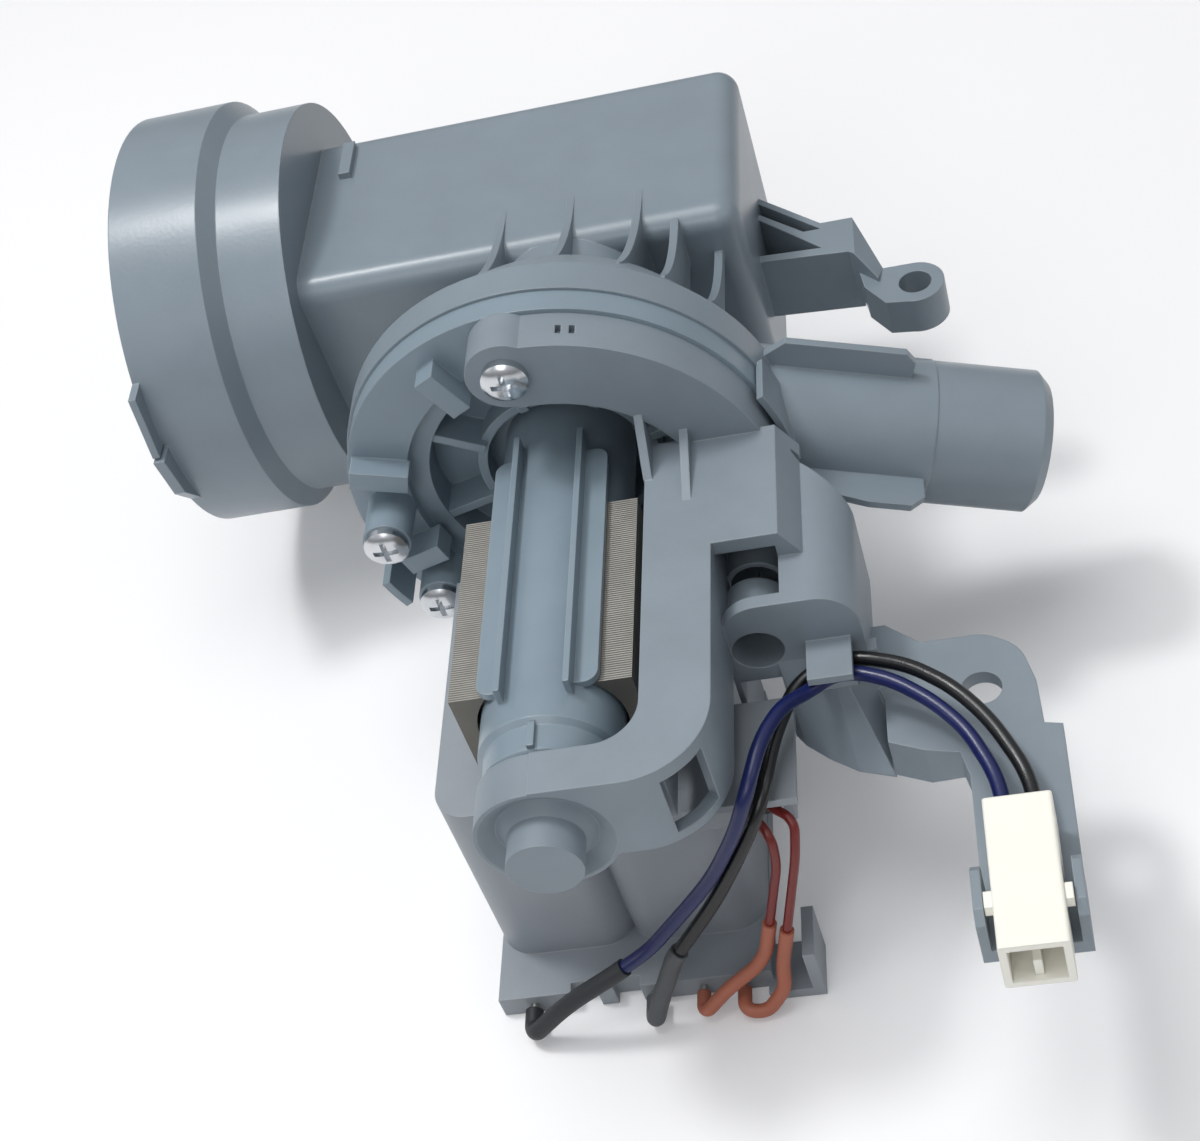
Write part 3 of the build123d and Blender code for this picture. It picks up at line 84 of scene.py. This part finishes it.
floor_gap = 0.0002
floor_level = cad_low.z - floor_gap
floor_half = 1.6
floor_glow = 0.11
paper, paper_output = new_material("matt_white_paper")
paper_face = add_node(paper, "ShaderNodeBsdfDiffuse", {"Color": linear("f3f3f4")})
paper_path = add_node(paper, "ShaderNodeLightPath")
paper_light = add_node(paper, "ShaderNodeMapRange", {
    "Value": paper_path.outputs["Is Camera Ray"], "To Min": 0.0, "To Max": floor_glow})
paper_glow = add_node(paper, "ShaderNodeEmission", {"Color": linear("f6f6f8"),
                                                    "Strength": paper_light.outputs[0]})
paper_sum = add_node(paper, "ShaderNodeAddShader", {0: paper_face.outputs[0],
                                                    1: paper_glow.outputs[0]})
paper.node_tree.links.new(paper_sum.outputs[0], paper_output.inputs["Surface"])
floor_mesh = bpy.data.meshes.new("table")
floor_mesh.from_pydata([(x * floor_half, y * floor_half, floor_level)
                        for x, y in ((-1, -1), (1, -1), (1, 1), (-1, 1))], [], [(0, 1, 2, 3)])
floor_mesh.materials.append(paper)
table_sheet = bpy.data.objects.new("table", floor_mesh)
bpy.context.scene.collection.objects.link(table_sheet)

# Studio light: a small lamp overhead and to the left, which draws the bright streaks along the
# collar and the tubes, a wide soft one beside it, three weak fills, and a pale world.
lighting_strength = 0.27
seen_strength = 0.95
mirror_low, mirror_high = -0.1, 0.75
mirror_dim, mirror_bright = 0.10, 0.85
high_aim = Vector((0.09, -0.06, 0.0))
low_aim = Vector((0.09, -0.08, 0.0))
world = bpy.data.worlds.new("studio")
bpy.context.scene.world = world
world.use_nodes = True
world.node_tree.nodes.clear()
light_path = add_node(world, "ShaderNodeLightPath")
seen = add_node(world, "ShaderNodeMath", {0: light_path.outputs["Is Camera Ray"],
                                          1: light_path.outputs["Is Transmission Ray"]},
                operation="MAXIMUM")
strength = add_node(world, "ShaderNodeMapRange", {
    "Value": seen.outputs[0], "To Min": lighting_strength, "To Max": seen_strength})
# Faces that mirror the room see it bright overhead and dim near the table, as in a real room.
room_place = add_node(world, "ShaderNodeTexCoord")
room_height = add_node(world, "ShaderNodeSeparateXYZ", {0: room_place.outputs["Generated"]})
room_shade = add_node(world, "ShaderNodeMapRange", {
    "Value": room_height.outputs["Z"], "From Min": mirror_low, "From Max": mirror_high,
    "To Min": mirror_dim, "To Max": mirror_bright})
mirrored = add_node(world, "ShaderNodeMix", {0: light_path.outputs["Is Glossy Ray"],
                                             2: strength.outputs[0], 3: room_shade.outputs[0]})
sky = add_node(world, "ShaderNodeBackground", {"Color": linear("f4f6fa"),
                                               "Strength": mirrored.outputs[0]})
add_node(world, "ShaderNodeOutputWorld", {"Surface": sky.outputs[0]})

for name, place, aim, width, power in (
        ("overhead_lamp", (-0.28, 0.06, 1.00), high_aim, 0.20, 3.7),
        ("overhead_softbox", (0.0, -0.05, 1.10), high_aim, 0.80, 5.2),
        ("front_fill", (0.00, -1.00, 0.75), low_aim, 0.60, 2.2),
        ("left_fill", (-0.75, -0.60, 0.55), low_aim, 0.60, 1.0),
        ("right_fill", (0.95, -0.45, 0.60), low_aim, 0.50, 0.6)):
    lamp_data = bpy.data.lights.new(name, "AREA")
    lamp_data.shape = "DISK"
    lamp_data.size = width
    lamp_data.energy = power
    lamp = bpy.data.objects.new(name, lamp_data)
    bpy.context.scene.collection.objects.link(lamp)
    lamp.location = place
    lamp.rotation_euler = (aim - Vector(place)).to_track_quat("-Z", "Y").to_euler()


# Pump housing: the collar, the filter chamber, the volute and the outlet in one moulding of
# blue-grey polypropylene. The mould leaves a fine grain and soft edges, which carry a painted
# highlight: a paler colour where the edge turns.
def moulded_plastic(name, colour, roughness=0.38, edge=0.0004, grain=0.0009, mottle=0.035,
                    edge_highlight_lift=0.22):
    """Satin injection-moulded plastic with faint mottling, fine grain and soft edges with a painted
    highlight (a paler colour).
    """
    cloud_size = 0.012
    grain_depth = 0.0002
    gloss_low, gloss_high = 0.05, 0.06
    polymer_ior = 1.49
    material, output = new_material(name)
    place = add_node(material, "ShaderNodeTexCoord").outputs["Object"]
    clouds = add_node(material, "ShaderNodeTexNoise", {"Vector": place, "Scale": 1 / cloud_size,
                                                       "Detail": 3.0, "Roughness": 0.55})
    speck = add_node(material, "ShaderNodeTexNoise", {"Vector": place, "Scale": 1 / grain,
                                                      "Detail": 2.0})
    shade = add_node(material, "ShaderNodeMapRange", {
        "Value": clouds.outputs["Fac"], "From Min": 0.3, "From Max": 0.7,
        "To Min": 1 - mottle, "To Max": 1 + mottle})
    tint = add_node(material, "ShaderNodeMix", {6: linear(colour), 0: 1.0}, data_type="RGBA",
                    blend_type="MULTIPLY")
    material.node_tree.links.new(shade.outputs[0], tint.inputs[7])
    soft = add_node(material, "ShaderNodeBevel", {"Radius": edge}, samples=6)
    flat = add_node(material, "ShaderNodeNewGeometry")
    bent = add_node(material, "ShaderNodeVectorMath", {0: soft.outputs[0],
                                                       1: flat.outputs["Normal"]},
                    operation="DOT_PRODUCT")
    # Painted highlight: where the bevelled normal turns away from the flat one, the colour is
    # lifted towards pale dfe6ea, standing in for light caught on the rounded edges.
    rim = add_node(material, "ShaderNodeMapRange", {
        "Value": bent.outputs["Value"], "From Min": 0.995, "From Max": 0.80,
        "To Min": 0.0, "To Max": edge_highlight_lift})
    edge_highlight = add_node(material, "ShaderNodeMix", {0: rim.outputs[0], 6: tint.outputs[2],
                                                7: linear("dfe6ea")}, data_type="RGBA")
    relief = add_node(material, "ShaderNodeBump", {"Height": speck.outputs["Fac"],
                                                   "Strength": 0.12, "Distance": grain_depth,
                                                   "Normal": soft.outputs[0]})
    gloss = add_node(material, "ShaderNodeMapRange", {
        "Value": clouds.outputs["Fac"], "To Min": roughness - gloss_low,
        "To Max": roughness + gloss_high})
    face = add_node(material, "ShaderNodeBsdfPrincipled", {"Base Color": edge_highlight.outputs[2],
                                                           "Roughness": gloss.outputs[0],
                                                           "IOR": polymer_ior,
                                                           "Normal": relief.outputs[0]})
    material.node_tree.links.new(face.outputs[0], output.inputs["Surface"])
    return material


def dress(node, material):
    """Gives a carried-over CAD piece its material in every slot."""
    mesh = cad_nodes[node].data
    mesh.materials.clear()
    mesh.materials.append(material)


housing_plastic = moulded_plastic("polypropylene_housing", "808c95", roughness=0.3)
dress("pump_housing", housing_plastic)

# Motor plate and rotor tube: the same kind of plastic with a slightly bluer and glossier skin,
# moulded in one piece with its spokes, ribs and wings.
tube_plastic = moulded_plastic("polypropylene_rotor_tube", "82929d", roughness=0.3)
dress("motor_plate", tube_plastic)

# Support arm: a stiff talc-filled polypropylene moulding, so it is duller than the housing and
# its grain is finer but more mottled. Two screws hold it against the motor plate.
arm_plastic = moulded_plastic("filled_polypropylene_arm", "828d96", roughness=0.46, grain=0.0007,
                              mottle=0.05)
dress("support_arm", arm_plastic)

# Coil cover: a block of the same grey plastic round the two coils, a little duller, with the
# leads' ends under its flange. Its colour is painted a little lighter than the housing's, as
# painted light on its front faces.
cover_plastic = moulded_plastic("coil_cover_plastic", "8e959c", roughness=0.42)
dress("coil_cover", cover_plastic)

# Small inner pieces: impeller, dog, bush carrier and bobbins, moulded in pale nylon. They are
# hidden unless the pump is opened.
wheel_plastic = moulded_plastic("glass_filled_nylon", "b9b8b0", roughness=0.45)
for name in ("impeller", "drive_dog", "bush_carrier", "coil_bobbin_left", "coil_bobbin_right"):
    dress(name, wheel_plastic)


# Stator core: punched steel sheets half a millimetre thick, stacked along the motor axis. Their
# cut edges show as fine light and dark lines, which a wave in the material draws.
def bare_metal(name, colour, roughness, sheet=None):
    """Plain metal; with a sheet thickness its faces show the edges of a stack along Y."""
    spot_size = 0.004
    band_period = 0.314
    lift, cut_edge_lift = 0.00002, 0.00015
    material, output = new_material(name)
    place = add_node(material, "ShaderNodeTexCoord").outputs["Object"]
    spots = add_node(material, "ShaderNodeTexNoise", {"Vector": place, "Scale": 1 / spot_size,
                                                      "Detail": 4.0})
    shade = add_node(material, "ShaderNodeMapRange", {
        "Value": spots.outputs["Fac"], "From Min": 0.3, "From Max": 0.7,
        "To Min": 0.86, "To Max": 1.08})
    tint = add_node(material, "ShaderNodeMix", {6: linear(colour), 0: 1.0}, data_type="RGBA",
                    blend_type="MULTIPLY")
    material.node_tree.links.new(shade.outputs[0], tint.inputs[7])
    colour_out = tint.outputs[2]
    height_out = spots.outputs["Fac"]
    if sheet:
        bands = add_node(material, "ShaderNodeTexWave", {
            "Vector": place, "Scale": band_period / sheet, "Distortion": 0.6, "Detail": 1.0,
            "Detail Scale": 40.0}, wave_type="BANDS", bands_direction="Y")
        edges = add_node(material, "ShaderNodeMix", {0: bands.outputs["Fac"], 6: linear("67655f"),
                                                     7: colour_out}, data_type="RGBA")
        colour_out = edges.outputs[2]
        height_out = bands.outputs["Fac"]
        lift = cut_edge_lift
    relief = add_node(material, "ShaderNodeBump", {"Height": height_out, "Strength": 0.5,
                                                   "Distance": lift})
    face = add_node(material, "ShaderNodeBsdfPrincipled", {"Base Color": colour_out,
                                                           "Metallic": 1.0 if not sheet else 0.55,
                                                           "Roughness": roughness,
                                                           "Normal": relief.outputs[0]})
    material.node_tree.links.new(face.outputs[0], output.inputs["Surface"])
    return material


sheet_thickness = 0.0005
dress("stator_core", bare_metal("punched_steel_stack", "999791", 0.5, sheet=sheet_thickness))
dress("core_rivets", bare_metal("drawn_steel_rivet", "b9b9b4", 0.35))

# Screws: bright zinc-plated steel pan heads with a pressed cross recess, driven through the arm or
# the plate's posts into the housing.
dress("pan_head_screws", bare_metal("bright_zinc_plate", "d6d9dc", 0.22))

# Rotor, bushes, windings and contacts: a ground shaft in a ferrite magnet, bronze bushes, enamelled
# copper on the bobbins, and tinned brass pins. All but the contacts are inside tube and cover.
dress("rotor_shaft", bare_metal("ground_stainless_steel", "c9c9c9", 0.2))
dress("rotor_magnet", moulded_plastic("sintered_ferrite", "3a3a3c", roughness=0.5))
for name in ("front_bush", "rear_bush"):
    dress(name, bare_metal("sintered_bronze", "a8804f", 0.5))
for name in ("coil_left", "coil_right"):
    dress(name, bare_metal("enamelled_copper", "c8703a", 0.35))
dress("thermal_cutout", moulded_plastic("black_phenolic", "2c2c2e", roughness=0.4))
for name in ("coil_terminals", "connector_contacts"):
    dress(name, bare_metal("tinned_brass", "c4c3bd", 0.3))

# Seal and cushion: black rubber rings, one between the housing and the motor plate, one round the
# front bush.
rubber = moulded_plastic("black_nitrile_rubber", "232325", roughness=0.6, edge_highlight_lift=0.05)
for name in ("housing_seal", "bush_cushion"):
    dress(name, rubber)

# Connector: ivory nylon, moulded with a mouth towards the front for the harness plug, and held
# between the walls of the arm's bracket.
dress("connector_housing", moulded_plastic("ivory_nylon_connector", "fbf9ee", roughness=0.35,
                                           mottle=0.01, edge_highlight_lift=0.1))

# Leads and sleeves: stranded wire in glossy insulation, with duller sleeves pushed over the ends.
# Their shapes are the cords of the CAD.
for name, colour, gloss in (
        ("blue_lead", "0c1850", 0.3), ("black_lead", "0e0f11", 0.28),
        ("red_lead_front", "741f1a", 0.3), ("red_lead_rear", "741f1a", 0.3),
        ("blue_lead_sleeve", "1f2226", 0.5), ("black_lead_sleeve", "4a4d50", 0.5),
        ("red_sleeve_front", "a9644e", 0.5), ("red_sleeve_rear", "a9644e", 0.5)):
    dress(name, moulded_plastic("insulation_" + name, colour, roughness=gloss, edge_highlight_lift=0.0))
